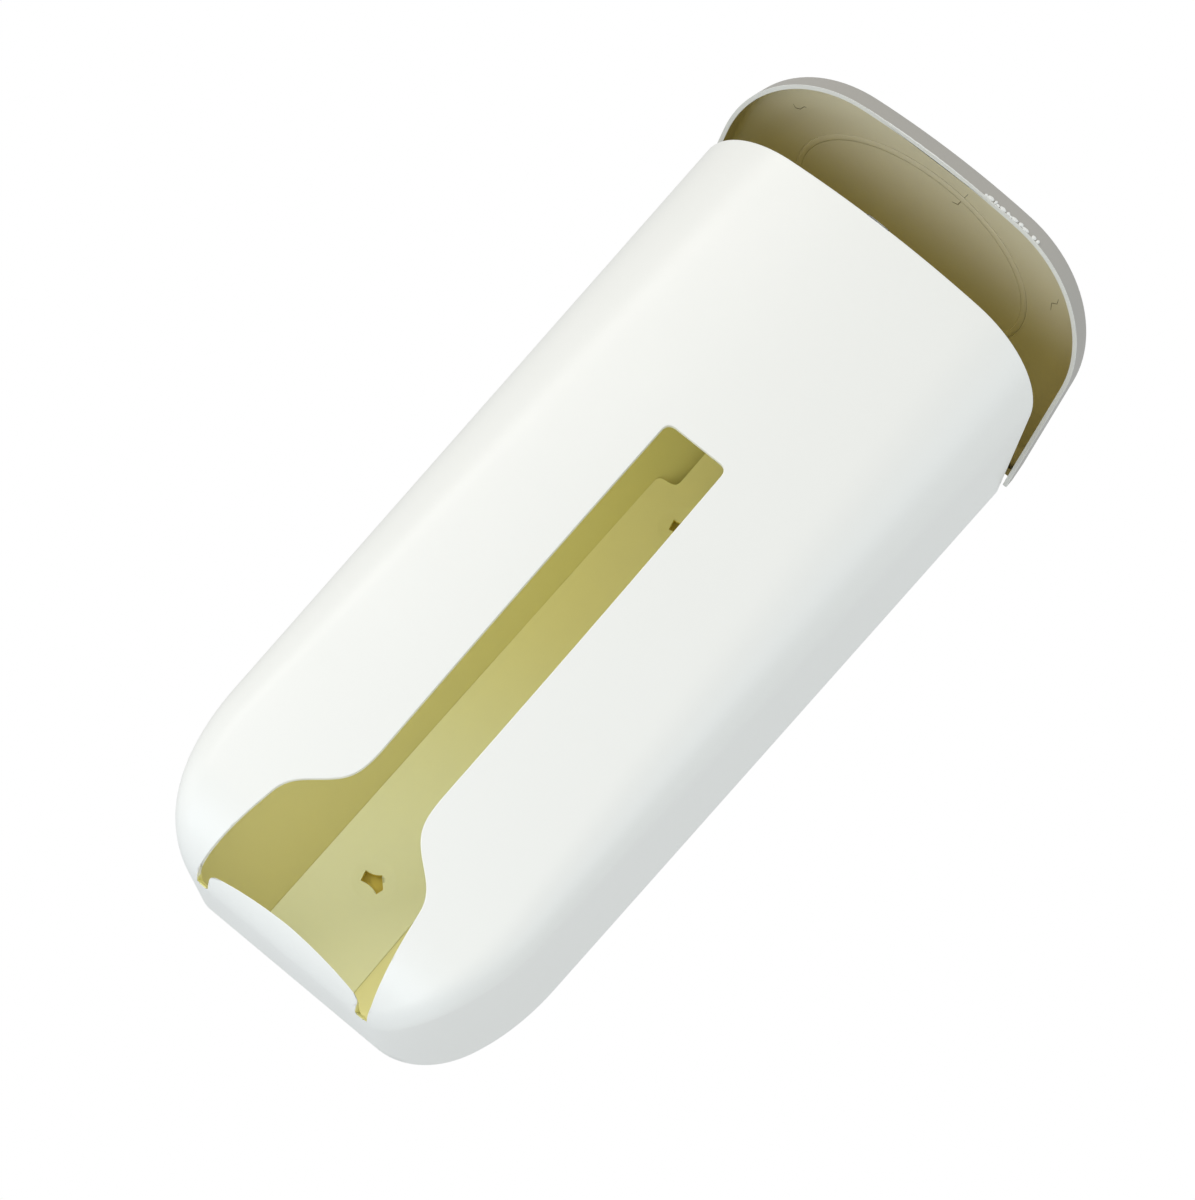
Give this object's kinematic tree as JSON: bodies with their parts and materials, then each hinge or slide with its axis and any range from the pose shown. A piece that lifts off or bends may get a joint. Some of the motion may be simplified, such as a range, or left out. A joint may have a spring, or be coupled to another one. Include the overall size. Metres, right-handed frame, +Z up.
{
  "type": "wall-mounted bag dispenser",
  "caption": "Wall-mounted dispenser for carrier bags or liners: tall white shell with a long front slot and flared outlet, inner guide and a hinged grey lid.",
  "frame": {"origin": "centre of the box around the part at its base", "axes": "+Z up, -Y out of the front, +Y into the wall, +X to the right seen from the front"},
  "size_m": [0.1408, 0.0864, 0.3285],
  "materials": {
    "shell": "satin white moulded plastic",
    "inner": "satin cream moulded plastic",
    "lid": "satin warm grey moulded plastic",
    "steel": "bright zinc"
  },
  "bodies": {
    "case": {"body_shell": "shell", "back_plate": "inner", "bag_guide": "inner", "mounting_strip": "inner", "hinge_pin_left": "steel", "hinge_pin_right": "steel", "plate_screw_upper_left": "steel", "plate_screw_upper_right": "steel", "plate_screw_lower_left": "steel", "plate_screw_lower_right": "steel"},
    "lid": {"lid": "lid"}
  },
  "joints": [
    {"name": "lid_hinge", "type": "hinge", "parent": "case", "child": "lid", "pos_m": [0, 0.03425, 0.2655], "axis": [1, 0, 0], "range_deg": [-31, 16]}
  ]
}
